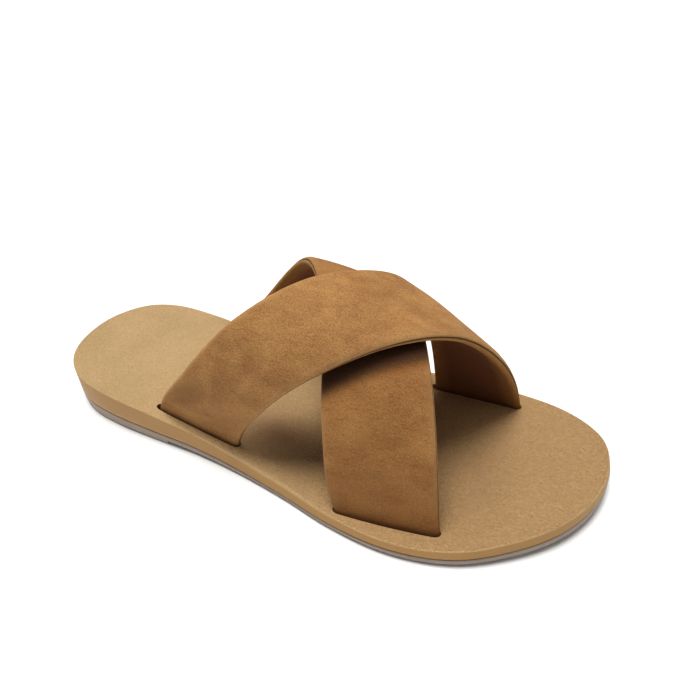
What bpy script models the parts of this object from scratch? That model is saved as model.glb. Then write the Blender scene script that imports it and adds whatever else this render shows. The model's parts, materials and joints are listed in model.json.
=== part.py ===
"""Cross strap sandal, right shoe: rubber outsole, moulded footbed and an upper of two crossed straps.

Lengths are in millimetres up to the mesh builder, which writes metres. X runs from the heel to the toe,
Y to the medial (big toe) side and Z up from the floor.
"""

import bmesh
import bpy
import numpy as np

MM = 0.001

# Driving dimensions
LENGTH = 270.0  # of the sole, heel to toe
MIDDLE = (135.0, -0.35)  # of the sole's plan, which becomes the origin
GAP = 0.3  # between pieces that touch
STATIONS = 44  # along the sole

# Sole, at stations from the heel: the plan on the lateral and medial side, the height of the footbed's
# top edge, and the height where the footbed meets the outsole
SOLE = [
    # x, lateral, medial, top, split
    (0.0, 2.5, 2.5, 21.3, 6.6),
    (2.5, -13.3, 14.8, 21.3, 6.6),
    (14.0, -29.0, 30.0, 21.1, 6.5),
    (28.0, -36.2, 36.2, 20.4, 6.4),
    (50.0, -39.5, 38.2, 18.8, 6.1),
    (75.0, -39.9, 37.2, 16.8, 5.4),
    (100.0, -39.8, 36.0, 13.6, 4.6),
    (125.0, -41.5, 38.4, 10.5, 3.2),
    (150.0, -44.9, 43.8, 8.9, 2.4),
    (175.0, -49.5, 48.3, 7.9, 2.7),
    (200.0, -50.8, 50.2, 7.6, 3.3),
    (225.0, -45.2, 49.1, 8.5, 3.8),
    (245.0, -32.6, 44.7, 10.0, 4.9),
    (258.0, -19.8, 38.0, 11.0, 5.9),
    (266.0, -6.0, 30.0, 11.4, 6.6),
    (270.0, 14.0, 14.0, 11.5, 7.0),
]
TOE_SPRING = (194.0, 2.6)  # where it starts, and its height at the toe
HEEL_LIFT = (32.0, 1.1)  # the same at the heel
WALL_FLARE = 0.6  # the foot of the side wall stands out from its top edge
EDGE_ROUNDING = (1.1, 2.6)  # radius of the footbed's top edge, and the most it has at the waist
WAIST_EDGE = (143.0, 34.0)  # middle and half length of that softer stretch, lateral side
DISH = 0.9  # depth of the footbed's middle below its rim

# Outsole
HEEL_BLOCK_END = 82.0
ARCH_END = 143.0
ARCH_LIFT = (2.3, 0.5)  # clearance under the waist at its rear and front end
TREAD_INSET = 1.4  # the forefoot tread lies this far inside the outsole's edge
TREAD_DEPTH = 1.1
TREAD_RAMP = (84.0, 140.0)  # the inset grows from nothing to its full size between these
GROOVE_WIDTH = 2.4
GROOVE_DEPTH = 0.8
GROOVE_PITCH = 9.0
HEEL_GROOVES = (20.0, 74.0)
HEEL_GROOVE_MARGIN = 7.0  # the heel's grooves stop short of its wall
TOE_GROOVES = (152.0, 262.0)

# Straps: stations from the lateral to the medial end, each with the strap's rear and front edge and the
# height of the crown between them
OVER_STRAP = [
    # rear x, y, z, front x, y, z, crown
    (76.5, -33.0, 16.7, 122.0, -34.3, 10.9, 0.3),
    (100.0, -33.5, 46.0, 141.0, -34.5, 39.0, 1.0),
    (124.0, -20.0, 71.0, 165.0, -27.0, 59.5, 1.4),
    (147.5, 3.0, 81.0, 191.0, -11.0, 70.0, 1.2),
    (169.0, 29.5, 71.5, 209.0, 8.5, 63.0, 1.0),
    (180.5, 42.5, 43.0, 222.0, 27.5, 39.0, 1.2),
    (187.0, 39.5, 8.2, 228.5, 39.5, 8.9, 0.5),
]
UNDER_STRAP = [
    # rear x, y, z, front x, y, z, crown
    (175.6, -45.4, 7.9, 218.0, -39.3, 8.2, 0.3),
    (172.4, -42.8, 17.0, 216.8, -37.0, 16.5, 0.8),
    (167.5, -34.0, 40.0, 213.0, -30.0, 38.5, 1.4),
    (157.0, -11.0, 63.5, 202.0, -9.0, 60.5, 3.2),
    (140.5, 15.0, 75.0, 186.0, 17.0, 66.6, 2.8),
    (119.0, 36.0, 66.5, 166.0, 38.0, 54.5, 1.6),
    (95.5, 42.5, 43.0, 143.0, 43.0, 35.0, 1.4),
    (77.5, 32.3, 16.8, 124.0, 33.3, 10.6, 0.3),
]
STRAP_THICKNESS = 4.4
SLOT_THICKNESS = 3.2  # of the strap ends, where they go into the footbed
NARROWING = 16.0  # length over which a strap end thins to that
TUCK_LEAN = 0.5  # share of a strap's lean that its end keeps inside the slot
STRAP_STATIONS = 46
EDGE_ROUNDNESS = 2.6  # distance from a strap's edge over which it reaches its full thickness
EDGE_TURNS = (0.0, 30.0, 60.0, 90.0)  # degrees round that edge, for the points of a section
FLAT_POINTS = 5  # across one face of a strap, between its round edges
SLOT_PLAY = 0.4  # of the slots round the strap ends
SLOT_RINGS = 6  # strap sections that a slot's cutter follows

SHARP_ANGLE = 40.0  # degrees, above which an edge is shaded sharp

TAN = (0.50, 0.33, 0.17)
TAUPE = (0.37, 0.32, 0.28)
CARAMEL = (0.40, 0.22, 0.09)


def clear_scene():
    for obj in list(bpy.data.objects):
        bpy.data.objects.remove(obj, do_unlink=True)


def material(name, color, roughness):
    made = bpy.data.materials.new(name)
    made.use_nodes = True
    shader = made.node_tree.nodes["Principled BSDF"]
    shader.inputs["Base Color"].default_value = (*color, 1.0)
    shader.inputs["Roughness"].default_value = roughness
    shader.inputs["Metallic"].default_value = 0.0
    return made


def collection(name):
    made = bpy.data.collections.new(name)
    bpy.context.scene.collection.children.link(made)
    return made


def place(name, mesh, folder, finish=None):
    """An object of this mesh in the folder. Without a finish it is a cutter."""
    obj = bpy.data.objects.new(name, mesh)
    folder.objects.link(obj)
    mesh.shade_smooth()
    mesh.set_sharp_from_angle(angle=np.radians(SHARP_ANGLE))
    if finish is None:
        obj.hide_render = True
        obj.display_type = "WIRE"
    else:
        mesh.materials.append(finish)
    return obj


def boolean(obj, cutter, operation):
    modifier = obj.modifiers.new(cutter.name, "BOOLEAN")
    modifier.operation = operation
    modifier.solver = "EXACT"
    modifier.object = cutter


def curve_through(knots, values, at):
    """Values at the places asked for, on a smooth curve through the values at the knots."""
    knots = np.asarray(knots, float)
    values = np.asarray(values, float).reshape(len(knots), -1)
    rise = np.diff(values, axis=0) / np.diff(knots)[:, None]
    inner = (rise[:-1] * np.diff(knots)[1:, None] + rise[1:] * np.diff(knots)[:-1, None])
    inner = inner / (knots[2:] - knots[:-2])[:, None]
    slopes = np.vstack([rise[:1], inner, rise[-1:]])
    at = np.clip(np.atleast_1d(at), knots[0], knots[-1])
    span = np.clip(np.searchsorted(knots, at, side="right") - 1, 0, len(knots) - 2)
    width = (knots[span + 1] - knots[span])[:, None]
    t = (at - knots[span])[:, None] / width
    start = (2 * t**3 - 3 * t**2 + 1) * values[span] + (t**3 - 2 * t**2 + t) * width * slopes[span]
    end = (3 * t**2 - 2 * t**3) * values[span + 1] + (t**3 - t**2) * width * slopes[span + 1]
    return start + end


def turn_of(x):
    """The angle that makes evenly spaced stations close up towards the sole's round ends."""
    return np.arccos(np.clip(1 - 2 * np.asarray(x, float) / LENGTH, -1, 1))


SOLE_TURN = turn_of([row[0] for row in SOLE])
SOLE_VALUES = [row[1:] for row in SOLE]


def sole_at(x):
    """Lateral and medial plan, top and split height at these x."""
    return curve_through(SOLE_TURN, SOLE_VALUES, turn_of(x)).T


def split_at(x):
    """Height where the footbed meets the outsole."""
    return sole_at(x)[3]


def underside_at(x):
    """Height of the footbed's underside."""
    return split_at(x) + GAP


def ground_at(x):
    """Height of the sole's underside: flat but for the toe spring and the heel's lift."""
    toe_start, toe_rise = TOE_SPRING
    toe = np.clip((x - toe_start) / (LENGTH - toe_start), 0, 1)
    heel_start, heel_rise = HEEL_LIFT
    heel = np.clip((heel_start - x) / heel_start, 0, 1)
    return toe_rise * toe**2 + heel_rise * heel**2


def sole_outline():
    """Plan of the sole as a loop of points: the lateral side from heel to toe, then the medial side back."""
    x = LENGTH / 2 * (1 - np.cos(np.linspace(0, np.pi, STATIONS)))
    lateral, medial, _, _ = sole_at(x)
    going = np.stack([x, lateral], axis=1)
    coming = np.stack([x, medial], axis=1)[-2:0:-1]
    return np.vstack([going, coming])


def moved_in(loop, distance):
    """The loop moved inwards by a distance, which may be one for each point."""
    along = np.roll(loop, -1, axis=0) - np.roll(loop, 1, axis=0)
    along = along / np.linalg.norm(along, axis=1)[:, None]
    inwards = np.stack([-along[:, 1], along[:, 0]], axis=1)
    return loop + inwards * np.broadcast_to(distance, len(loop))[:, None]


def drawn_together(loop, share):
    """The loop shrunk towards the sole's middle line, straight across along most of its length."""
    rear, front = 45.0, 215.0
    x = np.clip(loop[:, 0], rear, front)
    lateral, medial, _, _ = sole_at(x)
    middle = np.stack([x, (lateral + medial) / 2], axis=1)
    return middle + (loop - middle) * share


def with_height(loop, z):
    """The loop at a height, which is one for each point or a function of x."""
    return np.column_stack([loop, z(loop[:, 0]) if callable(z) else z])


def footbed_top(loop):
    """Height of the footbed's top: level with its rim at the edge, and dished between."""
    lateral, medial, top, _ = sole_at(loop[:, 0])
    middle = (lateral + medial) / 2
    half = np.maximum((medial - lateral) / 2, 1.0)
    off = np.clip(np.abs(loop[:, 1] - middle) / half, 0, 1)
    return top - DISH * (1 - off**2) * np.clip(half / 25.0, 0, 1)


def mesh_of_rings(name, rings, zipped):
    """A closed mesh from rings of points. A sole's rings are zipped across at both ends, others are capped."""
    shape = bmesh.new()
    points = [[shape.verts.new((x * MM, y * MM, z * MM)) for x, y, z in centred(ring)] for ring in rings]
    count = len(points[0])
    for lower, upper in zip(points, points[1:]):
        for i in range(count):
            j = (i + 1) % count
            shape.faces.new((lower[i], lower[j], upper[j], upper[i]))
    for ring, flipped in ((points[0], True), (points[-1], False)):
        if zipped:
            faces = zip_faces(ring)
        else:
            faces = [ring]
        for face in faces:
            shape.faces.new(face[::-1] if flipped else face)
    bmesh.ops.recalc_face_normals(shape, faces=shape.faces)
    mesh = bpy.data.meshes.new(name)
    shape.to_mesh(mesh)
    shape.free()
    return mesh


def centred(ring):
    return np.asarray(ring) - (*MIDDLE, 0.0)


def zip_faces(ring):
    """Faces straight across a sole's ring, from each lateral point to the medial one at the same x."""
    count = len(ring)
    last = count // 2
    faces = []
    for i in range(last):
        face = [ring[i], ring[i + 1], ring[(count - i - 1) % count], ring[(count - i) % count]]
        faces.append([vert for k, vert in enumerate(face) if vert not in face[:k]])
    return faces


def make_footbed(folder, finish):
    """The moulded footbed, from the middle of its underside round its wall to the middle of its top."""
    loop = sole_outline()
    foot = moved_in(loop, -WALL_FLARE)
    small, large = EDGE_ROUNDING
    middle, reach = WAIST_EDGE
    soft = np.clip(1 - ((loop[:, 0] - middle) / reach) ** 2, 0, 1) * (loop[:, 1] < 0)
    radius = small + (large - small) * soft
    top = sole_at(loop[:, 0])[2]
    rings = [with_height(drawn_together(foot, share), underside_at) for share in (0.12, 0.55)]
    rings.append(with_height(moved_in(foot, 0.5), underside_at))
    rings.append(with_height(foot, lambda x: underside_at(x) + 0.5))
    for turn in (0.0, 30.0, 60.0, 90.0):
        inset = radius * (1 - np.cos(np.radians(turn)))
        rings.append(with_height(moved_in(loop, inset), top - radius * (1 - np.sin(np.radians(turn)))))
    rim = moved_in(loop, radius)
    for share in (0.93, 0.75, 0.5, 0.25, 0.1):
        inner = drawn_together(rim, share)
        rings.append(with_height(inner, footbed_top(inner)))
    return place("footbed", mesh_of_rings("footbed", rings, zipped=True), folder, finish)


def make_outsole(folder, finish):
    """The rubber outsole, its forefoot tread set in from its edge."""
    loop = moved_in(sole_outline(), -WALL_FLARE)
    x = loop[:, 0]
    rear, front = TREAD_RAMP
    ramp = np.clip((x - rear) / (front - rear), 0, 1)
    tread = moved_in(loop, TREAD_INSET * ramp + 0.01)
    ground = ground_at(x)
    rings = [with_height(drawn_together(tread, share), ground_at) for share in (0.12, 0.55, 0.9)]
    rings.append(with_height(moved_in(tread, 0.6), ground_at))
    rings.append(with_height(tread, ground + 0.4))
    rings.append(with_height(tread, ground + TREAD_DEPTH - 0.3))
    rings.append(with_height(loop, ground + TREAD_DEPTH))
    rings.append(with_height(loop, split_at))
    rings += [with_height(drawn_together(loop, share), split_at) for share in (0.55, 0.12)]
    return place("outsole", mesh_of_rings("outsole", rings, zipped=True), folder, finish)


def box_mesh(name, corners):
    """A closed block between a lower and an upper quadrilateral, eight corners in all."""
    return mesh_of_rings(name, [corners[:4], corners[4:]], zipped=False)


def arch_cutter(folder):
    """The wedge of air under the waist, from the heel block's front to the forefoot tread."""
    rear_lift, front_lift = ARCH_LIFT
    side = 70.0
    below = -5.0
    plan = [(HEEL_BLOCK_END, -side), (ARCH_END, -side), (ARCH_END, side), (HEEL_BLOCK_END, side)]
    lifts = (rear_lift, front_lift, front_lift, rear_lift)
    corners = [(x, y, below) for x, y in plan]
    corners += [(x, y, lift) for (x, y), lift in zip(plan, lifts)]
    return place("arch_cut", box_mesh("arch_cut", corners), folder)


def groove_cutters(folder):
    """One block for each cross groove of the tread."""
    cutters = []
    for (start, end), margin in ((HEEL_GROOVES, HEEL_GROOVE_MARGIN), (TOE_GROOVES, -4.0)):
        for x in np.arange(start, end, GROOVE_PITCH):
            lateral, medial, _, _ = (value[0] for value in sole_at([x]))
            near, far = x - GROOVE_WIDTH / 2, x + GROOVE_WIDTH / 2
            right, left = lateral + margin, medial - margin
            plan = [(near, right), (far, right), (far, left), (near, left)]
            corners = [(px, py, -5.0) for px, py in plan]
            corners += [(px, py, float(ground_at(px)) + GROOVE_DEPTH) for px, py in plan]
            name = f"groove_cut_{len(cutters) + 1}"
            cutters.append(place(name, box_mesh(name, corners), folder))
    return cutters


def strap_frame(rows, tuck):
    """Edges, crown and distance to the nearer end, at even steps along a strap, tuck below both ends."""
    table = np.array(rows)
    ends = []
    for base, above, depth in ((table[0], table[1], tuck[0]), (table[-1], table[-2], tuck[1])):
        end = base.copy()
        for x, y, z in ((0, 1, 2), (3, 4, 5)):
            lean = (above - base) / (above[z] - base[z])
            end[[x, y]] -= lean[[x, y]] * depth * TUCK_LEAN
            end[z] -= depth
        ends.append(end)
    table = np.vstack([ends[0], table, ends[1]])
    middle = (table[:, :3] + table[:, 3:6]) / 2
    run = np.concatenate([[0], np.cumsum(np.linalg.norm(np.diff(middle, axis=0), axis=1))])
    at = np.linspace(0, run[-1], STRAP_STATIONS)
    smooth = curve_through(run, table, at)
    from_base = np.minimum(at - run[1], run[-2] - at)
    return smooth[:, :3], smooth[:, 3:6], smooth[:, 6], from_base


def strap_profile(half):
    """Places across a strap's section and shares of its thickness there, from the rear to the front edge."""
    turn = np.radians(EDGE_TURNS)
    rear = EDGE_ROUNDNESS * (1 - np.cos(turn)) - half
    flat = np.linspace(rear[-1], -rear[-1], FLAT_POINTS + 2)[1:-1]
    across = np.concatenate([rear, flat, -rear[::-1]])
    fullness = np.concatenate([np.sin(turn), np.ones(FLAT_POINTS), np.sin(turn[::-1])])
    return across, fullness


def strap_rings(rows, tuck, grow=0.0):
    """Closed sections along a strap, its outer face first and then its inner face."""
    rear, front, crown, from_base = strap_frame(rows, tuck)
    across = front - rear
    width = np.linalg.norm(across, axis=1)
    across = across / width[:, None]
    along = np.gradient((rear + front) / 2, axis=0)
    outwards = np.cross(across, along)
    outwards = outwards / np.linalg.norm(outwards, axis=1)[:, None]
    ease = np.clip(from_base / NARROWING, 0, 1)
    thickness = SLOT_THICKNESS + (STRAP_THICKNESS - SLOT_THICKNESS) * ease * ease * (3 - 2 * ease)
    rings = []
    for i in range(len(rear)):
        centre = (rear[i] + front[i]) / 2
        half = width[i] / 2 + grow
        place, fullness = strap_profile(half)
        bulge = crown[i] * (1 - (place / half) ** 2)
        depth = fullness * (thickness[i] / 2 + grow)
        outer = centre + np.outer(place, across[i]) + np.outer(bulge + depth, outwards[i])
        inner = centre + np.outer(place, across[i]) + np.outer(bulge - depth, outwards[i])
        rings.append(np.vstack([outer, inner[-2:0:-1]]))
    return rings


def strap_tuck(rows, seat_gap):
    """How far each strap end reaches below its first and last station, down to the outsole."""
    depths = []
    for row in (rows[0], rows[-1]):
        split = split_at([row[0], row[3]])
        depths.append(min(row[2] - split[0], row[5] - split[1]) - seat_gap)
    return depths


def slot_cutters(name, rows, folder):
    """Two closed plugs, the strap's ends made larger by the gap, that pass right through the footbed."""
    rings = strap_rings(rows, strap_tuck(rows, 2 * GAP), grow=SLOT_PLAY)
    cutters = []
    for end, plug in (("lateral", rings[:SLOT_RINGS]), ("medial", rings[: -SLOT_RINGS - 1 : -1])):
        full = f"{name}_{end}_slot_cut"
        through = plug[0] - (0.0, 0.0, 4.0)
        cutters.append(place(full, mesh_of_rings(full, [through, *plug], zipped=False), folder))
    return cutters


def make_upper(folder, cutters, finish):
    """Both straps as one solid, joined where they cross."""
    straps = {}
    for name, rows in (("over_strap", OVER_STRAP), ("under_strap", UNDER_STRAP)):
        rings = strap_rings(rows, strap_tuck(rows, 2 * GAP))
        straps[name] = mesh_of_rings(name, rings, zipped=False)
    upper = place("upper", straps["over_strap"], folder, finish)
    boolean(upper, place("under_strap", straps["under_strap"], cutters), "UNION")
    return upper


def main():
    clear_scene()
    sandal = collection("cross_strap_sandal")
    cutters = collection("cutters")
    outsole = make_outsole(sandal, material("outsole_rubber", TAUPE, 0.7))
    footbed = make_footbed(sandal, material("footbed_foam", TAN, 0.6))
    make_upper(sandal, cutters, material("strap_leather", CARAMEL, 0.75))
    boolean(outsole, arch_cutter(cutters), "DIFFERENCE")
    for cutter in groove_cutters(cutters):
        boolean(outsole, cutter, "DIFFERENCE")
    for name, rows in (("over", OVER_STRAP), ("under", UNDER_STRAP)):
        for cutter in slot_cutters(name, rows, cutters):
            boolean(footbed, cutter, "DIFFERENCE")


main()
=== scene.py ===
"""Looks of a cross strap sandal, right shoe.

Nubuck straps with a stitched lining, a pebbled footbed and a rubber outsole with a fine tread stand on a
pale floor. Lengths are in millimetres up to the mesh builders, which write metres. Sole and straps are
worked out from the heel's end: X to the toe, Y to the medial (big toe) side and Z up from the floor.
"""

import json
import math

import bpy
import numpy as np
from mathutils import Matrix, Vector, noise

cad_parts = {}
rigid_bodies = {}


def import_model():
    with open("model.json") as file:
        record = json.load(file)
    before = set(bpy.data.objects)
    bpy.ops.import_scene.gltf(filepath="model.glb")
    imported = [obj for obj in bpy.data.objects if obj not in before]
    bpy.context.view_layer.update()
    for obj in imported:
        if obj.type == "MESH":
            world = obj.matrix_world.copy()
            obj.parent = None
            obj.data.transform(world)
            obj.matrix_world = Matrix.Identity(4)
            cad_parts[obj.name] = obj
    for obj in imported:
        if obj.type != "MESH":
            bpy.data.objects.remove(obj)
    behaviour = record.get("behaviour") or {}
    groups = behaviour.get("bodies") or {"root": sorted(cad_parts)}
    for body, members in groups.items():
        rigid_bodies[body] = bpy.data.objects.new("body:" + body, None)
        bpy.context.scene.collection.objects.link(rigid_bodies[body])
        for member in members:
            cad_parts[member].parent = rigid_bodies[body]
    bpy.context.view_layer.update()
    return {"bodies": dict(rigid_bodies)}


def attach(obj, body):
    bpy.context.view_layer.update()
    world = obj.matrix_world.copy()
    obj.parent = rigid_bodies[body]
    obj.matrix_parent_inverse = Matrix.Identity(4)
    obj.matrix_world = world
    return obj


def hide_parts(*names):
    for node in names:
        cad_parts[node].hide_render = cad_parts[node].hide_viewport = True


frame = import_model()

MM = 0.001
BODY = "root" if "root" in frame["bodies"] else next(iter(frame["bodies"]))

# Camera, in the shared frame: where it is in metres, and where it looks in degrees
CAMERA_AT = (0.1235, -0.1634, 0.1962)
CAMERA_YAW = -30.22
CAMERA_PITCH = 37.36
CAMERA_ROLL = -5.08
CAMERA_LENS = 29.47
SENSOR_WIDTH = 36.0

# Light
KEY_FROM = (-0.1, 0.07, 0.98)  # the way to the key light, overhead and a little towards the inner side
KEY_SPREAD = 26.0  # degrees across
KEY_STRENGTH = 2.7
SKY = (0.06, 1.04)  # at the horizon and overhead
SKY_FALL = (0.52, 1.0)  # share of the way up between which it brightens
CONTRAST = 0.9  # display gamma
FLOOR_REACH = 8.0  # metres from the middle
FLOOR_BELOW = 0.00005  # metres, which keeps it just clear of the outsole

# Driving dimensions of the sole
LENGTH = 270.0
MIDDLE = (135.0, -0.35)  # of the sole's plan, the shared frame's origin
GAP = 0.3  # between one piece and the next
STATIONS = 220  # along the sole
SOLE = [
    # x, lateral, medial, top, split
    (0.0, 2.5, 2.5, 21.3, 6.6),
    (2.5, -13.3, 14.8, 21.3, 6.6),
    (14.0, -29.0, 30.0, 21.1, 6.5),
    (28.0, -36.2, 36.2, 20.4, 6.4),
    (50.0, -39.5, 38.2, 18.8, 6.1),
    (75.0, -39.9, 37.2, 16.8, 5.4),
    (100.0, -39.8, 36.0, 13.6, 4.6),
    (125.0, -41.5, 38.4, 10.5, 3.2),
    (150.0, -44.9, 43.8, 8.9, 2.4),
    (175.0, -49.5, 48.3, 7.9, 2.7),
    (200.0, -50.8, 50.2, 7.6, 3.3),
    (225.0, -45.2, 49.1, 8.5, 3.8),
    (245.0, -32.6, 44.7, 10.0, 4.9),
    (258.0, -19.8, 38.0, 11.0, 5.9),
    (266.0, -6.0, 30.0, 11.4, 6.6),
    (270.0, 14.0, 14.0, 11.5, 7.0),
]
MIDDLE_LINE = (45.0, 215.0)  # where the line begins and ends that the sole's inner rings shrink towards
TOE_SPRING = (194.0, 2.6)  # where it begins, and its rise at the tip
HEEL_LIFT = (32.0, 1.1)  # where it ends, and its rise at the back
WALL_FLARE = 0.6  # how much wider the side wall is at its foot
WALL_FOOT = 0.5  # chamfer round the footbed's lower edge
EDGE_ROUNDING = (1.1, 2.6)  # radius of the footbed's top edge, and at the lateral side of the waist
WAIST_EDGE = (143.0, 34.0)  # middle and reach of that wider rounding
DISH = 0.9  # depth of the footbed's dished top
DISH_WIDTH = 25.0  # half width of the sole from which the dish is full
RIM_ANGLES = range(0, 91, 15)  # round the footbed's top edge
TOP_SHARES = (0.985, 0.96, 0.92, 0.86, 0.78, 0.69, 0.6, 0.5, 0.4, 0.3, 0.2, 0.1)  # rings across its top

# Outsole
HEEL_BLOCK_END = 82.0
ARCH_END = 143.0
ARCH_LIFT = (2.3, 0.5)  # at its rear and its front
TREAD_INSET = 1.4
TREAD_DEPTH = 1.1
TREAD_RAMP = (84.0, 140.0)  # where the tread begins and ends to draw in from the edge
CUT_FLOOR = -5.0  # where the blocks end below that cut the arch and the grooves
CUT_SIDE = 70.0  # how far out to each side the arch's block reaches
GROOVE_WIDTH = 2.4
GROOVE_DEPTH = 0.8
GROOVE_PITCH = 9.0
HEEL_GROOVES = (20.0, 74.0)
HEEL_GROOVE_MARGIN = 7.0
TOE_GROOVES = (152.0, 262.0)
TOE_GROOVE_MARGIN = -4.0  # they run out through the edge

# Straps, each station with the strap's rear and front edge and the height of the crown between them
OVER_STRAP = [
    # rear x, y, z, front x, y, z, crown
    (76.5, -33.0, 16.7, 122.0, -34.3, 10.9, 0.3),
    (100.0, -33.5, 46.0, 141.0, -34.5, 39.0, 1.0),
    (124.0, -20.0, 71.0, 165.0, -27.0, 59.5, 1.4),
    (147.5, 3.0, 81.0, 191.0, -11.0, 70.0, 1.2),
    (169.0, 29.5, 71.5, 209.0, 8.5, 63.0, 1.0),
    (180.5, 42.5, 43.0, 222.0, 27.5, 39.0, 1.2),
    (187.0, 39.5, 8.2, 228.5, 39.5, 8.9, 0.5),
]
UNDER_STRAP = [
    # rear x, y, z, front x, y, z, crown
    (175.6, -45.4, 7.9, 218.0, -39.3, 8.2, 0.3),
    (172.4, -42.8, 17.0, 216.8, -37.0, 16.5, 0.8),
    (167.5, -34.0, 40.0, 213.0, -30.0, 38.5, 1.4),
    (157.0, -11.0, 63.5, 202.0, -9.0, 60.5, 3.2),
    (140.5, 15.0, 75.0, 186.0, 17.0, 66.6, 2.8),
    (119.0, 36.0, 66.5, 166.0, 38.0, 54.5, 1.6),
    (95.5, 42.5, 43.0, 143.0, 43.0, 35.0, 1.4),
    (77.5, 32.3, 16.8, 124.0, 33.3, 10.6, 0.3),
]
STRAP_THICKNESS = 4.4
SLOT_THICKNESS = 3.2
NARROWING = 16.0  # how far above its base a strap reaches its full thickness
TUCK_LEAN = 0.5  # share of a strap's own lean that its tucked end keeps
EDGE_ROUNDNESS = 2.6
SLOT_PLAY = 0.4
SLOT_OVERCUT = (2.0, 0.2)  # how far the slots run on past the rear edge of the over and the under strap
SLOT_STEPS = 46  # sections along the strap that a slot's plug is taken from
PLUG_STEPS = 6  # of them in each plug
PLUG_DROP = 4.0  # how far a plug goes on down through the footbed
STRAP_STEPS = 240  # sections along a strap
EDGE_POINTS = 16  # round a quarter of its edge
FACE_POINTS = 26  # across one face, between the round edges

# Where the hide meets the lining, in degrees round the edge from its middle, less than 0 being outwards
SEAM_TURN = -14.0
SEAM_WIDTH = 10.0
SEAM_DEPTH = 0.42
LINING_STEP = 0.14  # the lining lies this far below the hide
LINING_TURN = 6.0  # degrees over which it sets in

# The lining's stitches
STITCH_INSET = 3.3  # from the strap's edge
STITCH_GROOVE = (0.6, 0.28)  # half width and depth
STITCH_LENGTH = 2.0
STITCH_PITCH = 2.9
STITCH_START = 2.0  # above the strap's base
THREAD = 0.2  # radius

# Soft creases of the straps: place along the strap from its lateral base and across it from its middle,
# the direction of the trough in degrees from the strap's own, half length, half width and depth
OVER_CREASES = [
    # along, across, angle, long, wide, deep
    (53.0, 1.0, -21.0, 17.0, 4.0, 0.5),
    (43.0, 9.0, -21.0, 12.0, 4.5, -0.4),
    (25.0, -11.0, 20.0, 15.0, 8.0, 0.8),
    (24.0, 6.0, -35.0, 13.0, 4.5, -0.35),
    (13.0, 12.0, 60.0, 8.0, 3.5, 0.4),
    (15.0, -4.0, 35.0, 9.0, 3.5, -0.3),
    (52.0, -10.0, -50.0, 8.0, 3.5, 0.35),
    (122.0, 5.0, 75.0, 16.0, 6.0, 0.5),
    (138.0, -6.0, 70.0, 14.0, 5.0, -0.4),
]
UNDER_CREASES = [
    # along, across, angle, long, wide, deep
    (34.0, 6.0, 62.0, 14.0, 4.5, 0.5),
    (24.0, -2.0, 70.0, 14.0, 5.0, -0.35),
    (12.0, 4.0, 84.0, 15.0, 4.0, 0.3),
    (148.0, 0.0, 70.0, 15.0, 4.0, 0.4),
]
CROSSING_SHADE = (15.0, 4.0)  # painted shadow of the over strap's front edge: distance from that edge where it starts, and where it is full
# How much painted shade darkens the rest of a strap, how much more at its base, and how far up that
# reaches
OVER_SHADE = (0.0, 0.34, 22.0)
UNDER_SHADE = (0.3, 0.3, 15.0)
PAINTED_ARCH_SHADE = [
    # painted shade on the footbed beneath the arch, where the straps shadow it: x, y, reach along, reach
    # across, depth
    (136.0, -21.0, 22.0, 12.0, 0.72),
    (180.0, 2.0, 26.0, 22.0, 0.5),
    (222.0, -6.0, 14.0, 26.0, 0.18),
]
SWELL = (0.22, 0.045)  # height of the padding's gentle unevenness, and its waves per millimetre

# How far the straps' finer shapes and tones take to set in or to fade
RELIEF_FADE = 5.0  # seam, stitch groove and swell, from the base
CREASE_FADE = 12.0  # creases, from the base
INSIDE_FADE = 9.0  # the painted shade in the lining's middle, from the edge
EDGE_HIGHLIGHT = 1.3  # the painted highlight, from the edge
BASE_SHADE = 1.2  # the painted shade line where the strap meets the footbed, from the base


# Curves and outlines

def curve_through(knots, values, at):
    """Values at the places asked for, on a smooth curve through the values at the knots."""
    knots = np.asarray(knots, float)
    values = np.asarray(values, float).reshape(len(knots), -1)
    rise = np.diff(values, axis=0) / np.diff(knots)[:, None]
    inner = (rise[:-1] * np.diff(knots)[1:, None] + rise[1:] * np.diff(knots)[:-1, None])
    inner = inner / (knots[2:] - knots[:-2])[:, None]
    slopes = np.vstack([rise[:1], inner, rise[-1:]])
    at = np.clip(np.atleast_1d(at), knots[0], knots[-1])
    span = np.clip(np.searchsorted(knots, at, side="right") - 1, 0, len(knots) - 2)
    width = (knots[span + 1] - knots[span])[:, None]
    t = (at - knots[span])[:, None] / width
    start = (2 * t**3 - 3 * t**2 + 1) * values[span] + (t**3 - 2 * t**2 + t) * width * slopes[span]
    end = (3 * t**2 - 2 * t**3) * values[span + 1] + (t**3 - t**2) * width * slopes[span + 1]
    return start + end


def turn_of(x):
    """The angle that makes evenly spaced stations close up towards the sole's round ends."""
    return np.arccos(np.clip(1 - 2 * np.asarray(x, float) / LENGTH, -1, 1))


SOLE_TURN = turn_of([row[0] for row in SOLE])
SOLE_VALUES = [row[1:] for row in SOLE]


def sole_at(x):
    """Lateral and medial plan, top and split height at these x."""
    return curve_through(SOLE_TURN, SOLE_VALUES, turn_of(x)).T


def split_at(x):
    return sole_at(x)[3]


def underside_at(x):
    return split_at(x) + GAP


def ground_at(x):
    """Height of the sole's underside: flat but for the toe spring and the heel's lift."""
    toe_start, toe_rise = TOE_SPRING
    toe = np.clip((x - toe_start) / (LENGTH - toe_start), 0, 1)
    heel_start, heel_rise = HEEL_LIFT
    heel = np.clip((heel_start - x) / heel_start, 0, 1)
    return toe_rise * toe**2 + heel_rise * heel**2


def sole_outline():
    """Plan of the sole as a loop: the lateral side from heel to toe, then the medial side back."""
    x = LENGTH / 2 * (1 - np.cos(np.linspace(0, np.pi, STATIONS)))
    lateral, medial, _, _ = sole_at(x)
    going = np.stack([x, lateral], axis=1)
    coming = np.stack([x, medial], axis=1)[-2:0:-1]
    return np.vstack([going, coming])


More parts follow.
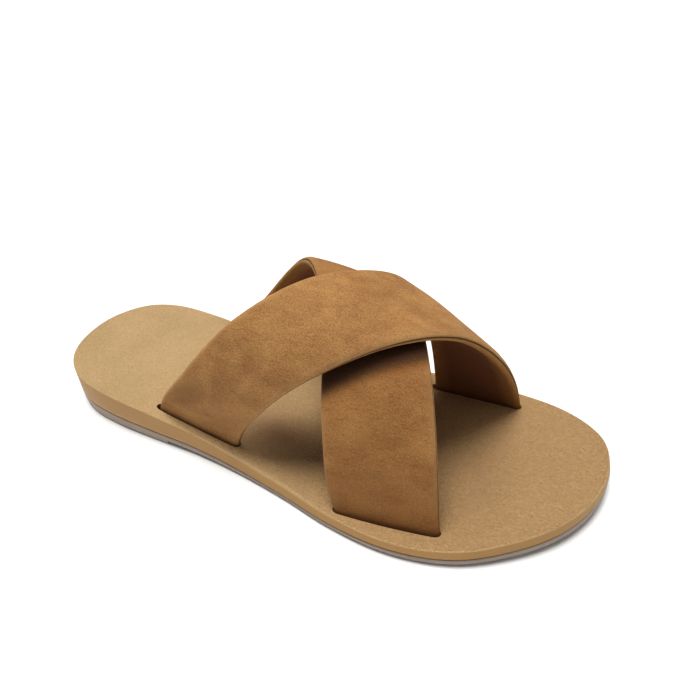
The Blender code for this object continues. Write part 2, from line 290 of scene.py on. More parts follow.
def moved_in(loop, distance):
    """The loop moved inwards by a distance, which may be one for each point."""
    along = np.roll(loop, -1, axis=0) - np.roll(loop, 1, axis=0)
    along = along / np.linalg.norm(along, axis=1)[:, None]
    inwards = np.stack([-along[:, 1], along[:, 0]], axis=1)
    return loop + inwards * np.broadcast_to(distance, len(loop))[:, None]


def drawn_together(loop, share):
    """The loop shrunk towards the sole's middle line, straight across along most of its length."""
    x = np.clip(loop[:, 0], *MIDDLE_LINE)
    lateral, medial, _, _ = sole_at(x)
    middle = np.stack([x, (lateral + medial) / 2], axis=1)
    return middle + (loop - middle) * share


def with_height(loop, z):
    """The loop at a height, which is one for each point or a function of x."""
    return np.column_stack([loop, z(loop[:, 0]) if callable(z) else z])


def footbed_top(loop):
    """Height of the footbed's top: level with its rim at the edge, and dished between."""
    lateral, medial, top, _ = sole_at(loop[:, 0])
    middle = (lateral + medial) / 2
    half = np.maximum((medial - lateral) / 2, 1.0)
    off = np.clip(np.abs(loop[:, 1] - middle) / half, 0, 1)
    return top - DISH * (1 - off**2) * np.clip(half / DISH_WIDTH, 0, 1)


# Mesh builders

def mesh_of(name, points, faces):
    """A smooth shaded mesh from points in millimetres in the heel's frame."""
    mesh = bpy.data.meshes.new(name)
    placed = (np.asarray(points) - (*MIDDLE, 0.0)) * MM
    mesh.from_pydata(placed.tolist(), [], faces)
    mesh.validate()
    mesh.shade_smooth()
    return mesh


def add_object(name, mesh):
    obj = bpy.data.objects.new(name, mesh)
    bpy.context.scene.collection.objects.link(obj)
    return obj


def ring_faces(rings, count):
    """Quads between rings of the same number of points."""
    faces = []
    for r in range(rings - 1):
        for i in range(count):
            j = (i + 1) % count
            faces.append((r * count + i, r * count + j, (r + 1) * count + j, (r + 1) * count + i))
    return faces


def zip_faces(count, start):
    """Faces straight across a sole's ring, from each lateral point to the medial one at the same x."""
    faces = []
    for i in range(count // 2):
        face = [i, i + 1, (count - i - 1) % count, (count - i) % count]
        faces.append(tuple(start + at for k, at in enumerate(face) if at not in face[:k]))
    return faces


def sole_mesh(name, rings):
    """A closed mesh from a sole's rings, zipped across at both ends. The first ring is at the bottom."""
    count = len(rings[0])
    faces = ring_faces(len(rings), count)
    faces += [face[::-1] for face in zip_faces(count, 0)]
    faces += zip_faces(count, (len(rings) - 1) * count)
    return mesh_of(name, np.vstack(rings), faces)


def capped_mesh(name, rings):
    """A closed mesh from rings, with one flat face at each end."""
    count = len(rings[0])
    last = (len(rings) - 1) * count
    faces = ring_faces(len(rings), count)
    faces.append(tuple(range(count))[::-1])
    faces.append(tuple(range(last, last + count)))
    return mesh_of(name, np.vstack(rings), faces)


def turned_outwards(mesh):
    """Turns a closed mesh's faces to point outwards if they point in."""
    mesh.calc_loop_triangles()
    corners = np.empty(len(mesh.loop_triangles) * 3, np.int32)
    mesh.loop_triangles.foreach_get("vertices", corners)
    points = np.empty(len(mesh.vertices) * 3)
    mesh.vertices.foreach_get("co", points)
    triangles = points.reshape(-1, 3)[corners.reshape(-1, 3)]
    if np.linalg.det(triangles).sum() < 0:
        mesh.flip_normals()
    return mesh


def cut(obj, meshes):
    """Takes closed cutter meshes out of the object, and leaves the result as its own mesh."""
    cutters = []
    for mesh in meshes:
        cutter = add_object(mesh.name, turned_outwards(mesh))
        modifier = obj.modifiers.new(mesh.name, "BOOLEAN")
        modifier.operation = "DIFFERENCE"
        modifier.solver = "EXACT"
        modifier.object = cutter
        cutters.append(cutter)
    graph = bpy.context.evaluated_depsgraph_get()
    finished = bpy.data.meshes.new_from_object(obj.evaluated_get(graph))
    obj.modifiers.clear()
    obj.data = finished
    for cutter in cutters:
        bpy.data.objects.remove(cutter, do_unlink=True)


def sharpen(obj, degrees):
    obj.data.shade_smooth()
    obj.data.set_sharp_from_angle(angle=math.radians(degrees))


def cutting_block(name, plan, highs):
    """A closed block from well below the floor up to a height for each of its plan's four corners."""
    lower = [(x, y, CUT_FLOOR) for x, y in plan]
    upper = [(x, y, z) for (x, y), z in zip(plan, highs)]
    return capped_mesh(name, [np.array(lower), np.array(upper)])


def coat(obj, finish):
    """Gives the object this one material."""
    obj.data.materials.clear()
    obj.data.materials.append(finish)


def point_values(obj, name, values):
    """Keeps one number for each point of the mesh, for its material to read."""
    layer = obj.data.attributes.new(name, "FLOAT", "POINT")
    layer.data.foreach_set("value", np.asarray(values, np.float32).ravel())


# Straps

def strap_tuck(rows):
    """How far each strap end reaches below its first and last station, down to the outsole."""
    depths = []
    for row in (rows[0], rows[-1]):
        split = split_at([row[0], row[3]])
        depths.append(min(row[2] - split[0], row[5] - split[1]) - 2 * GAP)
    return depths


def strap_frame(rows, steps):
    """Edges, crown, and distance from the lateral and from the nearer base at even steps along a strap."""
    tuck = strap_tuck(rows)
    table = np.array(rows)
    ends = []
    for base, above, depth in ((table[0], table[1], tuck[0]), (table[-1], table[-2], tuck[1])):
        end = base.copy()
        for x, y, z in ((0, 1, 2), (3, 4, 5)):
            lean = (above - base) / (above[z] - base[z])
            end[[x, y]] -= lean[[x, y]] * depth * TUCK_LEAN
            end[z] -= depth
        ends.append(end)
    table = np.vstack([ends[0], table, ends[1]])
    middle = (table[:, :3] + table[:, 3:6]) / 2
    run = np.concatenate([[0], np.cumsum(np.linalg.norm(np.diff(middle, axis=0), axis=1))])
    at = np.linspace(0, run[-1], steps)
    smooth = curve_through(run, table, at)
    along = at - run[1]
    from_base = np.minimum(along, run[-2] - at)
    return smooth[:, :3], smooth[:, 3:6], smooth[:, 6], along, from_base


def crease_bend(creases, along, across):
    """How far the strap is pushed in by its soft creases."""
    depth = np.zeros_like(across)
    for at_along, at_across, angle, long, wide, deep in creases:
        turn = math.radians(angle)
        a = along - at_along
        c = across - at_across
        lengthwise = a * math.cos(turn) + c * math.sin(turn)
        crosswise = c * math.cos(turn) - a * math.sin(turn)
        depth += deep * np.exp(-(lengthwise / long) ** 2 - (crosswise / wide) ** 2)
    return depth


def swell(points, seed):
    """Gentle unevenness of the padding at these points."""
    height, waves = SWELL
    shift = Vector((seed, 0, 0))
    return np.array([height * noise.noise(Vector(point) * waves + shift) for point in points])


def strap_profile(half, edge_points, face_points):
    """Round a strap's section, outer face first: place across, side, and turn round the edge."""
    turn = np.linspace(0, np.pi / 2, edge_points + 1)
    rear = EDGE_ROUNDNESS * (1 - np.cos(turn)) - half
    flat = np.linspace(rear[-1], -rear[-1], face_points + 2)[1:-1]
    across = np.concatenate([rear, flat, -rear[::-1]])
    turn = np.concatenate([turn, np.full(face_points, np.pi / 2), turn[::-1]])
    side = np.concatenate([np.ones(len(across)), -np.ones(len(across) - 2)])
    across = np.concatenate([across, across[-2:0:-1]])
    turn = np.concatenate([turn, turn[-2:0:-1]])
    return across, side, turn


def strap_sections(rows, creases, seed, steps=STRAP_STEPS, edge_points=EDGE_POINTS,
                   face_points=FACE_POINTS, grow=0.0):
    """Points of a strap's closed sections, outer face first, with what its material needs to know."""
    rear, front, crown, along, from_base = strap_frame(rows, steps)
    across = front - rear
    width = np.linalg.norm(across, axis=1)
    across = across / width[:, None]
    outwards = np.cross(across, np.gradient((rear + front) / 2, axis=0))
    outwards = outwards / np.linalg.norm(outwards, axis=1)[:, None]
    ease = np.clip(from_base / NARROWING, 0, 1)
    thickness = SLOT_THICKNESS + (STRAP_THICKNESS - SLOT_THICKNESS) * ease * ease * (3 - 2 * ease)
    half = width / 2 + grow
    profiles = [strap_profile(value, edge_points, face_points) for value in half]
    flat = np.array([place for place, _, _ in profiles])
    _, side, turn = profiles[0]

    from_edge = half[:, None] - np.abs(flat)
    round_edge = np.degrees(turn) * -side
    free = np.clip(from_base / RELIEF_FADE, 0, 1)[:, None]
    seam = np.exp(-((round_edge - SEAM_TURN) / SEAM_WIDTH) ** 2)
    lining = np.clip((round_edge - SEAM_TURN) / LINING_TURN, 0, 1)
    groove_width, groove_depth = STITCH_GROOVE
    groove = np.exp(-((from_edge - STITCH_INSET) / groove_width) ** 2) * (side < 0)
    sunk = free * ((SEAM_DEPTH * seam + LINING_STEP * lining)[None, :] + groove_depth * groove)
    sunk = sunk * (grow == 0)

    lift = crown[:, None] * (1 - (flat / half[:, None]) ** 2)
    lift = lift + (side * np.sin(turn))[None, :] * (thickness / 2 + grow)[:, None]
    lift = lift - sunk * (side * np.sin(turn))[None, :]
    moved = flat - sunk * np.sign(flat) * np.cos(turn)[None, :]
    centre = (rear + front) / 2
    points = centre[:, None, :] + across[:, None, :] * moved[:, :, None]
    pushed = np.zeros_like(flat)
    if creases:
        pushed = crease_bend(creases, np.repeat(along[:, None], flat.shape[1], axis=1), flat)
        pushed = pushed * np.clip(from_base / CREASE_FADE, 0, 1)[:, None]
        pushed -= swell(points.reshape(-1, 3), seed).reshape(pushed.shape) * free
    points = points + outwards[:, None, :] * (lift - pushed)[:, :, None]
    shape = flat.shape
    facts = {
        "lining": np.broadcast_to(lining[None, :], shape),
        "inside": np.clip(from_edge / INSIDE_FADE, 0, 1) * lining[None, :],
        "seam": np.broadcast_to(seam[None, :], shape) * free,
        "edge": np.exp(-from_edge / EDGE_HIGHLIGHT),
        "base": np.broadcast_to(np.exp(-np.clip(from_base, 0, None) / BASE_SHADE)[:, None], shape),
        "crease": np.clip(pushed, -1, 1),
    }
    return points, facts


def near_front_edge(points, rows):
    """From 0 to 1, how near each point lies to the front edge of the strap with these rows, for the
    painted shadow that edge casts.
    """
    _, front, _, _, _ = strap_frame(rows, STRAP_STEPS)
    reach, touch = CROSSING_SHADE
    nearest = np.full(points.shape[:2], np.inf)
    for place in front[::3]:
        nearest = np.minimum(nearest, np.linalg.norm(points - place, axis=2))
    share = np.clip((reach - nearest) / (reach - touch), 0, 1)
    return share * share * (3 - 2 * share)


def make_strap(name, rows, creases, seed, finish, shade, above=None):
    """A strap, with shade painted into its hide: darker towards the ends, and a painted shadow where
    another one's front edge lies above.
    """
    points, facts = strap_sections(rows, creases, seed)
    _, _, _, _, from_base = strap_frame(rows, STRAP_STEPS)
    share, more, reach = shade
    # painted shade, more of it towards the strap's ends
    painted_shade = share + more * np.exp(-np.clip(from_base, 0, None) / reach)
    facts["painted_shade"] = np.broadcast_to(painted_shade[:, None], points.shape[:2])
    if above is not None:
        facts["painted_shade"] = np.maximum(facts["painted_shade"], near_front_edge(points, above))
    obj = add_object(name, turned_outwards(capped_mesh(name, list(points))))
    for key, values in facts.items():
        point_values(obj, key, values)
    sharpen(obj, 60.0)
    coat(obj, finish)
    return obj


def slot_meshes(name, rows, overcut):
    """Closed plugs of the strap ends, a little larger, that cut the footbed's slots."""
    rings, _ = strap_sections(rows, None, 0, SLOT_STEPS, edge_points=5, face_points=14, grow=SLOT_PLAY)
    meshes = []
    for end, plug in (("lateral", rings[:PLUG_STEPS]), ("medial", rings[::-1][:PLUG_STEPS])):
        plug = plug.copy()
        backwards = plug[0][0] - plug[0][len(plug[0]) // 2]
        backwards = backwards / np.linalg.norm(backwards)
        middle = plug.mean(axis=1, keepdims=True)
        reach = ((plug - middle) * backwards).sum(axis=2)
        rear_share = 0.2
        rearmost = np.clip(reach / reach.max() - (1 - rear_share), 0, None) / rear_share
        plug += backwards * overcut * rearmost[:, :, None]
        through = plug[0] - (0.0, 0.0, PLUG_DROP)
        meshes.append(capped_mesh(f"{name}_{end}_slot", [through, *plug]))
    return meshes


def capsule(sides=8, rings=6):
    """Points and faces of a small rounded rod along X, one long and one across."""
    turns = np.linspace(0, 2 * np.pi, sides, endpoint=False)
    falls = np.linspace(0, np.pi, rings)
    bulge, tip = 0.6, 0.08
    points = []
    for fall in falls:
        along = -math.cos(fall)
        radius = math.sin(fall) ** bulge if 0 < fall < np.pi else tip
        for turn in turns:
            points.append((along, radius * math.cos(turn), radius * math.sin(turn)))
    faces = ring_faces(rings, sides)
    faces.append(tuple(range(sides))[::-1])
    faces.append(tuple(range((rings - 1) * sides, rings * sides)))
    return np.array(points), faces


def make_stitches(name, rows, creases, seed, finish):
    """The lining's two rows of stitches, in their grooves, as one mesh."""
    sections, _ = strap_sections(rows, creases, seed)
    _, _, _, _, from_base = strap_frame(rows, STRAP_STEPS)
    rod, rod_faces = capsule()
    points = []
    faces = []
    front_edge = len(sections[0]) // 2
    inner = sections[:, front_edge + EDGE_POINTS // 2:-EDGE_POINTS // 2, :]
    edges = (sections[:, 0, :], sections[:, front_edge, :])
    for edge in edges:
        off = np.linalg.norm(inner - edge[:, None, :], axis=2)
        nearest = np.abs(off - STITCH_INSET).argmin(axis=1)
        keep = from_base > STITCH_START
        path = inner[np.arange(len(inner)), nearest][keep]
        facing = np.cross(np.gradient(path, axis=0), (sections[:, front_edge] - sections[:, 0])[keep])
        run = np.concatenate([[0], np.cumsum(np.linalg.norm(np.diff(path, axis=0), axis=1))])
        places = np.arange(STITCH_PITCH, run[-1] - STITCH_PITCH / 2, STITCH_PITCH)
        for place in places:
            ends = [place - STITCH_LENGTH / 2, place + STITCH_LENGTH / 2]
            start, end = (np.array([np.interp(at, run, path[:, k]) for k in range(3)]) for at in ends)
            up = np.array([np.interp(place, run, facing[:, k]) for k in range(3)])
            ahead = (end - start) / np.linalg.norm(end - start)
            up = up - ahead * np.dot(up, ahead)
            up = up / np.linalg.norm(up)
            beside = np.cross(up, ahead)
            shape = rod * (STITCH_LENGTH / 2, THREAD, THREAD)
            middle = (start + end) / 2
            placed = middle + shape[:, :1] * ahead + shape[:, 1:2] * beside + shape[:, 2:] * up
            faces += [tuple(len(points) * len(rod) + i for i in face) for face in rod_faces]
            points.append(placed)
    obj = add_object(name, turned_outwards(mesh_of(name, np.vstack(points), faces)))
    coat(obj, finish)
    return obj


# Sole

def painted_arch_shade(obj):
    """From 0 to 1, how much painted shade each point of the footbed gets where the straps keep the light
    off it.
    """
    places = np.empty(len(obj.data.vertices) * 3)
    obj.data.vertices.foreach_get("co", places)
    along, across, _ = places.reshape(-1, 3).T / MM
    light = np.ones(len(along))
    for x, y, x_reach, y_reach, depth in PAINTED_ARCH_SHADE:
        distance = ((along + MIDDLE[0] - x) / x_reach) ** 2 + ((across + MIDDLE[1] - y) / y_reach) ** 2
        light *= 1 - depth * np.exp(-distance)
    return 1 - light


def make_footbed(finish):
    """The moulded footbed with its four slots."""
    loop = sole_outline()
    foot = moved_in(loop, -WALL_FLARE)
    small, large = EDGE_ROUNDING
    middle, reach = WAIST_EDGE
    soft = np.clip(1 - ((loop[:, 0] - middle) / reach) ** 2, 0, 1) * (loop[:, 1] < 0)
    radius = small + (large - small) * soft
    top = sole_at(loop[:, 0])[2]
    rings = [with_height(drawn_together(foot, share), underside_at) for share in (0.1, 0.4, 0.7, 0.9)]
    low = underside_at(loop[:, 0]) + WALL_FOOT
    rings.append(with_height(moved_in(foot, WALL_FOOT), underside_at))
    rings.append(with_height(foot, lambda x: underside_at(x) + WALL_FOOT))
    for rise in (0.25, 0.5, 0.75):
        wall = foot + (loop - foot) * rise
        rings.append(with_height(wall, low + (top - radius - low) * rise))
    for turn in RIM_ANGLES:
        inset = radius * (1 - math.cos(math.radians(turn)))
        drop = radius * (1 - math.sin(math.radians(turn)))
        rings.append(with_height(moved_in(loop, inset), top - drop))
    rim = moved_in(loop, radius)
    for share in TOP_SHARES:
        inner = drawn_together(rim, share)
        rings.append(with_height(inner, footbed_top(inner)))
    obj = add_object("moulded_footbed", turned_outwards(sole_mesh("moulded_footbed", rings)))
    over_cut, under_cut = SLOT_OVERCUT
    slots = slot_meshes("over", OVER_STRAP, over_cut) + slot_meshes("under", UNDER_STRAP, under_cut)
    cut(obj, slots)
    sharpen(obj, 50.0)
    # painted shade beneath the arch, kept for the material
    point_values(obj, "painted_arch_shade", painted_arch_shade(obj))
    coat(obj, finish)
    return obj


def arch_block():
    """The block that cuts the raised waist."""
    rear, front = ARCH_LIFT
    near, far = HEEL_BLOCK_END, ARCH_END
    plan = [(near, -CUT_SIDE), (far, -CUT_SIDE), (far, CUT_SIDE), (near, CUT_SIDE)]
    return cutting_block("arch", plan, (rear, front, front, rear))


def groove_blocks():
    """The blocks that cut the tread's cross grooves."""
    blocks = []
    for (start, end), margin in ((HEEL_GROOVES, HEEL_GROOVE_MARGIN), (TOE_GROOVES, TOE_GROOVE_MARGIN)):
        for x in np.arange(start, end, GROOVE_PITCH):
            lateral, medial, _, _ = (value[0] for value in sole_at([x]))
            near, far = x - GROOVE_WIDTH / 2, x + GROOVE_WIDTH / 2
            right, left = lateral + margin, medial - margin
            plan = [(near, right), (far, right), (far, left), (near, left)]
            highs = [float(ground_at(px)) + GROOVE_DEPTH for px, _ in plan]
            blocks.append(cutting_block(f"groove_{len(blocks) + 1}", plan, highs))
    return blocks


def make_outsole(finish):
    """The rubber outsole, its forefoot tread set in from its edge."""
    loop = moved_in(sole_outline(), -WALL_FLARE)
    x = loop[:, 0]
    rear, front = TREAD_RAMP
    ramp = np.clip((x - rear) / (front - rear), 0, 1)
    tread = moved_in(loop, TREAD_INSET * ramp + 0.01)
    ground = ground_at(x)
    split = split_at(x)
    rings = [with_height(drawn_together(tread, share), ground_at) for share in (0.12, 0.4, 0.7, 0.9)]
    rings.append(with_height(moved_in(tread, 0.6), ground_at))
    rings.append(with_height(moved_in(tread, 0.2), ground + 0.15))
    rings.append(with_height(tread, ground + 0.4))
    rings.append(with_height(tread, ground + TREAD_DEPTH - 0.3))
    rings.append(with_height(moved_in(loop, 0.25), ground + TREAD_DEPTH - 0.05))
    rings.append(with_height(loop, ground + TREAD_DEPTH + 0.15))
    rings.append(with_height(loop, split - 0.3))
    rings.append(with_height(moved_in(loop, 0.25), split))
    rings += [with_height(drawn_together(loop, share), split_at) for share in (0.9, 0.55, 0.12)]
    obj = add_object("rubber_outsole", turned_outwards(sole_mesh("rubber_outsole", rings)))
    cut(obj, [arch_block(), *groove_blocks()])
    sharpen(obj, 40.0)
    coat(obj, finish)
    return obj


# Materials

def new_material(name):
    made = bpy.data.materials.new(name)
    made.use_nodes = True
    return made.node_tree, made


def node(tree, kind, inputs=None, **settings):
    """Adds a node. Its inputs take numbers, colours or the sockets of other nodes."""
    made = tree.nodes.new(kind)
    for key, value in settings.items():
        setattr(made, key, value)
    for key, value in (inputs or {}).items():
        if isinstance(value, bpy.types.NodeSocket):
            tree.links.new(value, made.inputs[key])
        else:
            made.inputs[key].default_value = value
    return made


def place_on(tree):
    return node(tree, "ShaderNodeTexCoord").outputs["Object"]


def grain(tree, where, scale, detail=2.0, distortion=0.0):
    inputs = {"Vector": where, "Scale": scale, "Detail": detail, "Distortion": distortion}
    return node(tree, "ShaderNodeTexNoise", inputs).outputs["Fac"]


def stretched(tree, where, scale):
    """Places scaled by a number for each axis, which draws a pattern out along the small ones."""
    return node(tree, "ShaderNodeMapping", {"Vector": where, "Scale": scale}).outputs["Vector"]


def cells(tree, where, scale):
    inputs = {"Vector": where, "Scale": scale}
    return node(tree, "ShaderNodeTexVoronoi", inputs, feature="F1").outputs["Distance"]


def fact(tree, name):
    return node(tree, "ShaderNodeAttribute", attribute_name=name).outputs["Fac"]


def ramp(tree, value, low, high, to_low=0.0, to_high=1.0):
    """The value taken from one range to another, and kept inside it."""
    inputs = {"Value": value, 1: low, 2: high, 3: to_low, 4: to_high}
    return node(tree, "ShaderNodeMapRange", inputs, interpolation_type="SMOOTHSTEP").outputs[0]


def maths(tree, operation, first, second):
    return node(tree, "ShaderNodeMath", {0: first, 1: second}, operation=operation).outputs[0]


def times(tree, first, second):
    return maths(tree, "MULTIPLY", first, second)


def mixed(tree, factor, first, second):
    inputs = {6: first, 7: second, 0: factor}
    made = node(tree, "ShaderNodeMix", inputs, data_type="RGBA", blend_type="MIX", clamp_factor=True)
    return made.outputs[2]


def tinted(tree, colour, tint, mask, share):
    """The colour turned towards a tint by this share, where the mask is full."""
    return mixed(tree, times(tree, mask, share), colour, tint)


def upward(tree):
    """How far the surface faces up, from -1 to 1."""
    normal = node(tree, "ShaderNodeNewGeometry").outputs["Normal"]
    return node(tree, "ShaderNodeSeparateXYZ", {0: normal}).outputs["Z"]


def bumped(tree, height, distance, strength=1.0, under=None):
    inputs = {"Height": height, "Distance": distance, "Strength": strength}
    if under is not None:
        inputs["Normal"] = under
    return node(tree, "ShaderNodeBump", inputs).outputs["Normal"]


def rgb(*values):
    return (*values, 1.0)


def strap_material():
    """Brushed nubuck in caramel, softly cloudy and napped, with a smoother olive tan lining inside."""
    tree, made = new_material("strap_nubuck")
    shader = tree.nodes["Principled BSDF"]
    where = place_on(tree)
    clouds = ramp(tree, grain(tree, where, 42.0, 3.0, 0.7), 0.32, 0.68)
    patches = ramp(tree, grain(tree, where, 130.0, 3.0, 0.5), 0.3, 0.7)
    drawn_out = stretched(tree, where, (0.5, 1.6, 1.1))
    streaks = ramp(tree, grain(tree, drawn_out, 90.0, 3.0, 0.8), 0.42, 0.68)
    nap = grain(tree, where, 1800.0, 2.0, 0.2)
    hide = mixed(tree, clouds, rgb(0.32, 0.153, 0.054), rgb(0.5, 0.268, 0.099))
    hide = tinted(tree, hide, rgb(0.49, 0.283, 0.095), patches, 0.45)
    hide = tinted(tree, hide, rgb(0.27, 0.122, 0.045), streaks, 0.45)
    brushed_down = mixed(tree, 0.35, hide, rgb(0.2, 0.085, 0.026))
    brushed_up = mixed(tree, 0.26, hide, rgb(0.74, 0.42, 0.17))
    hide = mixed(tree, ramp(tree, nap, 0.3, 0.7), brushed_down, brushed_up)
    # painted highlight along the strap's edges
    hide = tinted(tree, hide, rgb(0.62, 0.38, 0.17), fact(tree, "edge"), 0.6)
    # painted shade in the creases' troughs
    crease_shade = ramp(tree, fact(tree, "crease"), 0.05, 0.7)
    hide = tinted(tree, hide, rgb(0.2, 0.086, 0.03), crease_shade, 0.42)
    # painted shade: darker towards the strap's ends, and a near black painted shadow below the over
    # strap's front edge
    deep = ramp(tree, fact(tree, "painted_shade"), 0.4, 0.9)
    shade = mixed(tree, deep, rgb(0.2, 0.062, 0.006), rgb(0.03, 0.008, 0.002))
    hide = tinted(tree, hide, shade, fact(tree, "painted_shade"), 0.95)
    cloth = mixed(tree, grain(tree, where, 900.0, 2.0), rgb(0.38, 0.19, 0.058), rgb(0.5, 0.27, 0.085))
    # painted shade: the lining darker away from the strap's edges
    cloth = mixed(tree, fact(tree, "inside"), cloth, rgb(0.22, 0.09, 0.04))
    colour = mixed(tree, fact(tree, "lining"), hide, cloth)
    colour = tinted(tree, colour, rgb(0.03, 0.01, 0.004), fact(tree, "seam"), 0.95)
    # painted shade along the strap's base, where it goes into the footbed
    colour = tinted(tree, colour, rgb(0.06, 0.02, 0.008), fact(tree, "base"), 0.6)
    tree.links.new(colour, shader.inputs["Base Color"])
    tree.links.new(ramp(tree, nap, 0.3, 0.7, 0.75, 0.92), shader.inputs["Roughness"])
    shader.inputs["Specular IOR Level"].default_value = 0.2
    shader.inputs["Sheen Weight"].default_value = 0.12
    shader.inputs["Sheen Roughness"].default_value = 0.4
    shader.inputs["Sheen Tint"].default_value = rgb(1.0, 0.78, 0.5)
    soft = bumped(tree, grain(tree, where, 240.0, 3.0, 0.6), 0.0012, 0.4)
    wrinkles = grain(tree, stretched(tree, where, (1.0, 2.2, 1.6)), 520.0, 3.0, 0.8)
    soft = bumped(tree, wrinkles, 0.0008, 0.45, soft)
    tree.links.new(bumped(tree, nap, 0.0004, 0.4, soft), shader.inputs["Normal"])
    return made


def thread_material():
    """Fine thread in the lining's own colour."""
    tree, made = new_material("seam_thread")
    shader = tree.nodes["Principled BSDF"]
    twist = grain(tree, place_on(tree), 3000.0, 1.0)
    colour = mixed(tree, twist, rgb(0.2, 0.115, 0.04), rgb(0.36, 0.23, 0.09))
    tree.links.new(colour, shader.inputs["Base Color"])
    shader.inputs["Roughness"].default_value = 0.6
    tree.links.new(bumped(tree, twist, 0.0001, 0.6), shader.inputs["Normal"])
    return made


def footbed_material():
    """Moulded tan foam: a fine sandy pebble on top, a smoother and browner side wall."""
    tree, made = new_material("footbed_foam")
    shader = tree.nodes["Principled BSDF"]
    where = place_on(tree)
    facing = upward(tree)
    top = ramp(tree, facing, 0.45, 0.9)
    # painted highlight along the footbed's rounded top edge
    rim = times(tree, ramp(tree, facing, 0.3, 0.65), ramp(tree, facing, 0.975, 0.8))
    clouds = ramp(tree, grain(tree, where, 32.0, 2.0, 0.3), 0.3, 0.7)
    wrinkles = grain(tree, stretched(tree, where, (1.0, 1.6, 1.0)), 720.0, 3.0, 0.8)
    speck = ramp(tree, wrinkles, 0.34, 0.66)
    along = node(tree, "ShaderNodeSeparateXYZ", {0: where}).outputs["X"]
    toe = ramp(tree, along, -0.07, 0.08)
    upper = mixed(tree, clouds, rgb(0.475, 0.325, 0.16), rgb(0.53, 0.362, 0.182))
    # painted shade: the top darker towards the toe, standing in for light falling off there
    upper = tinted(tree, upper, rgb(0.43, 0.262, 0.118), toe, 0.8)
    specks = mixed(tree, speck, rgb(0.22, 0.125, 0.055), rgb(0.66, 0.45, 0.24))
    upper = mixed(tree, 0.13, upper, specks)
    # painted shade on the footbed beneath the arch, where the straps shadow it
    upper = mixed(tree, fact(tree, "painted_arch_shade"), upper, rgb(0.1, 0.035, 0.012))
    wall = mixed(tree, clouds, rgb(0.475, 0.268, 0.092), rgb(0.515, 0.297, 0.105))
    colour = mixed(tree, top, wall, upper)
    # painted highlight along the top edge
    colour = tinted(tree, colour, rgb(0.62, 0.44, 0.24), rim, 0.55)
    tree.links.new(colour, shader.inputs["Base Color"])
    tree.links.new(ramp(tree, top, 0.0, 1.0, 0.5, 0.7), shader.inputs["Roughness"])
    shader.inputs["Specular IOR Level"].default_value = 0.3
    pebbles = ramp(tree, cells(tree, where, 1100.0), 0.1, 0.7)
    height = maths(tree, "ADD", times(tree, pebbles, 0.3), wrinkles)
    height = times(tree, height, ramp(tree, top, 0.0, 1.0, 0.1, 1.0))
    height = times(tree, height, ramp(tree, toe, 0.0, 1.0, 0.7, 1.2))
    tree.links.new(bumped(tree, height, 0.0014, 0.65), shader.inputs["Normal"])
    return made


def outsole_material():
    """Grey taupe rubber, satin, with painted shade on its downward faces and a fine cross tread."""
    tree, made = new_material("outsole_rubber")
    shader = tree.nodes["Principled BSDF"]
    where = place_on(tree)
    clouds = grain(tree, where, 60.0, 3.0)
    colour = mixed(tree, clouds, rgb(0.35, 0.275, 0.215), rgb(0.44, 0.36, 0.295))
    speck = ramp(tree, grain(tree, where, 900.0, 2.0), 0.45, 0.75)
    colour = tinted(tree, colour, rgb(0.25, 0.2, 0.16), speck, 0.18)
    facing = upward(tree)
    below = ramp(tree, facing, -0.6, -0.95)
    # painted shade on the faces that turn downwards
    colour = tinted(tree, colour, rgb(0.13, 0.105, 0.085), ramp(tree, facing, -0.1, -0.6), 0.6)
    tree.links.new(colour, shader.inputs["Base Color"])
    shader.inputs["Roughness"].default_value = 0.5
    shader.inputs["Specular IOR Level"].default_value = 0.4
    waves = node(tree, "ShaderNodeTexWave", {"Vector": where, "Scale": 160.0, "Distortion": 0.0},
                 bands_direction="X").outputs["Fac"]
    ribs = times(tree, times(tree, waves, below), 1.2)
    height = maths(tree, "ADD", ribs, times(tree, grain(tree, where, 700.0, 2.0), 0.25))
    tree.links.new(bumped(tree, height, 0.0003, 0.6), shader.inputs["Normal"])
    return made


def floor_material():
    tree, made = new_material("pale_floor")
    shader = tree.nodes["Principled BSDF"]
    shader.inputs["Base Color"].default_value = rgb(0.96, 0.96, 0.955)
    shader.inputs["Roughness"].default_value = 0.9
    shader.inputs["Specular IOR Level"].default_value = 0.0
    return made


# Studio

def make_camera():
    """The camera at the photograph's angle to the shoe."""
    yaw, pitch, roll = (math.radians(angle) for angle in (CAMERA_YAW, CAMERA_PITCH, CAMERA_ROLL))
    ahead = Vector((math.cos(pitch) * math.sin(yaw), math.cos(pitch) * math.cos(yaw), -math.sin(pitch)))
    right = Vector((math.cos(yaw), -math.sin(yaw), 0))
    up = right.cross(ahead)
    rolled_right = right * math.cos(roll) + up * math.sin(roll)
    rolled_up = up * math.cos(roll) - right * math.sin(roll)
    data = bpy.data.cameras.new("camera")
    data.sensor_width = SENSOR_WIDTH
    data.lens = CAMERA_LENS
    data.clip_start = 0.01
    camera = add_object("camera", data)
    matrix = Matrix((rolled_right, rolled_up, -ahead)).transposed().to_4x4()
    matrix.translation = CAMERA_AT
    camera.matrix_world = matrix
    bpy.context.scene.camera = camera


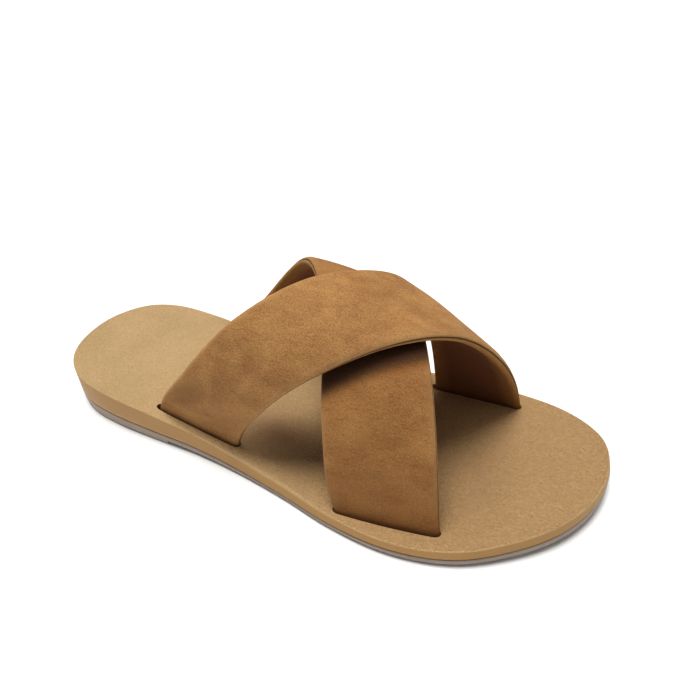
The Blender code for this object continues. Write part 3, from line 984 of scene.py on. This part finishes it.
def make_key():
    """The one lamp, a wide soft sun."""
    data = bpy.data.lights.new("key", "SUN")
    data.angle = math.radians(KEY_SPREAD)
    data.energy = KEY_STRENGTH
    light = add_object("key", data)
    light.location = Vector(KEY_FROM) * 2
    light.rotation_euler = (-Vector(KEY_FROM)).to_track_quat("-Z", "Y").to_euler()


def make_sky():
    """A white ceiling that falls off to a dim horizon."""
    world = bpy.data.worlds.new("studio")
    world.use_nodes = True
    tree = world.node_tree
    way = node(tree, "ShaderNodeTexCoord").outputs["Generated"]
    height = node(tree, "ShaderNodeSeparateXYZ", {0: way}).outputs["Z"]
    horizon, overhead = SKY
    background = tree.nodes["Background"]
    background.inputs["Color"].default_value = rgb(1.0, 0.985, 0.96)
    tree.links.new(ramp(tree, height, *SKY_FALL, horizon, overhead), background.inputs["Strength"])
    bpy.context.scene.world = world


def make_floor():
    """A wide pale floor for the studio alone."""
    floor_mesh = bpy.data.meshes.new("floor")
    reach = FLOOR_REACH
    corners = [(-reach, -reach, 0), (reach, -reach, 0), (reach, reach, 0), (-reach, reach, 0)]
    floor_mesh.from_pydata(corners, [], [(0, 1, 2, 3)])
    floor_mesh.materials.append(floor_material())
    floor = add_object("floor", floor_mesh)
    floor.location.z = -FLOOR_BELOW


# The sandal

def dress(obj, slot, *nodes):
    """Hands a visible piece over, with the solids that it takes the place of; the slot argument is not
    used.
    """
    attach(obj, BODY)
    if nodes:
        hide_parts(*nodes)


def main():
    make_camera()
    make_key()
    make_sky()
    make_floor()
    bpy.context.scene.view_settings.view_transform = "Standard"
    bpy.context.scene.view_settings.gamma = CONTRAST
    nubuck = strap_material()
    thread = thread_material()
    straps = (("over_strap", OVER_STRAP, OVER_CREASES, 3.0, OVER_SHADE, None),
              ("under_strap", UNDER_STRAP, UNDER_CREASES, 11.0, UNDER_SHADE, OVER_STRAP))
    for name, rows, creases, seed, shade, above in straps:
        strap = make_strap(name, rows, creases, seed, nubuck, shade, above)
        dress(strap, "strap_leather", "upper")
        dress(make_stitches(name + "_stitches", rows, creases, seed, thread), "strap_leather")
    dress(make_footbed(footbed_material()), "footbed_foam", "footbed")
    dress(make_outsole(outsole_material()), "outsole_rubber", "outsole")


main()
